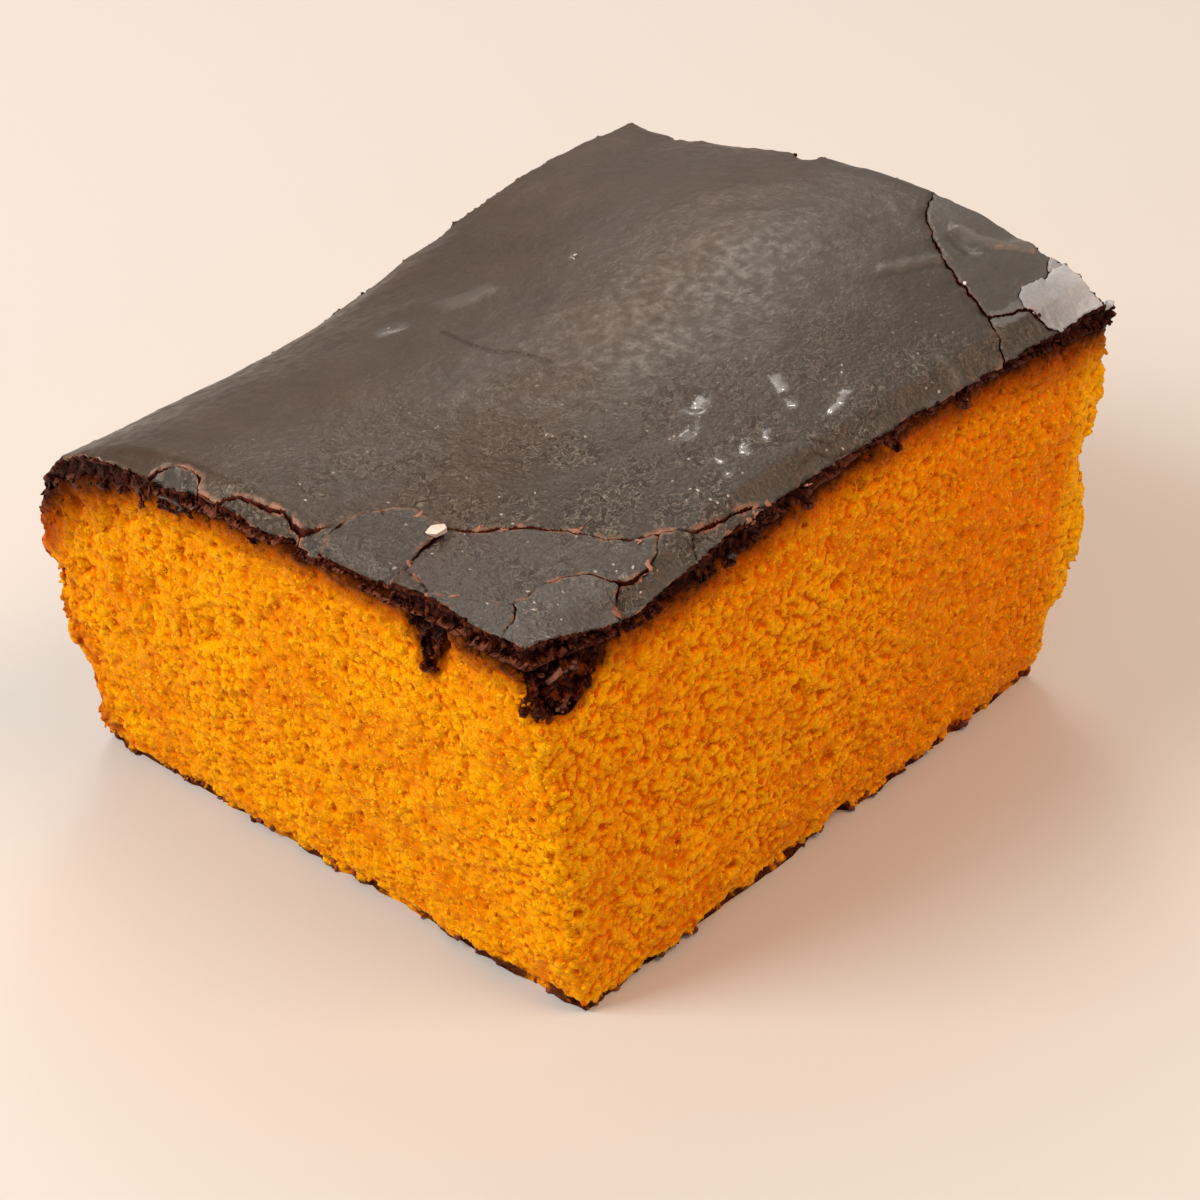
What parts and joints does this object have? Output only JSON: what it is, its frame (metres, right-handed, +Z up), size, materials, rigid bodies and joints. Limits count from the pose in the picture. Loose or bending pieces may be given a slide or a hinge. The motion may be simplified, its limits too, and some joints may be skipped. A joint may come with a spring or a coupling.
{
  "type": "carrot cake slab",
  "caption": "Slab of carrot sponge cake cut from a tray bake, under a thin set chocolate glaze that has cracked into plates at its corners and run down the cut faces.",
  "frame": {"origin": "middle of the bounding box, at the face it rests on", "axes": "+Z up, +Y along the slab's longer horizontal side from the front cut face to the back one, +X from the baked side that was against the tray to the right cut face"},
  "size_m": [0.0796, 0.0858, 0.055],
  "materials": {
    "sponge": "open orange crumb, moist",
    "glaze": "satin, very dark brown, set chocolate"
  },
  "bodies": {
    "root": {"sponge": "sponge", "glaze_sheet": "glaze", "glaze_sliver_left": "glaze", "glaze_sliver_front": "glaze", "glaze_plate_chip": "glaze", "glaze_plate_round": "glaze", "glaze_plate_strip": "glaze", "glaze_plate_middle": "glaze", "glaze_plate_tip_front": "glaze", "glaze_plate_tip": "glaze", "glaze_plate_side": "glaze", "glaze_plate_side_back": "glaze", "glaze_plate_back": "glaze", "glaze_plate_pale": "glaze", "glaze_plate_small": "glaze", "glaze_plate_lower": "glaze", "glaze_run_corner": "glaze", "glaze_run_front": "glaze"}
  },
  "joints": []
}
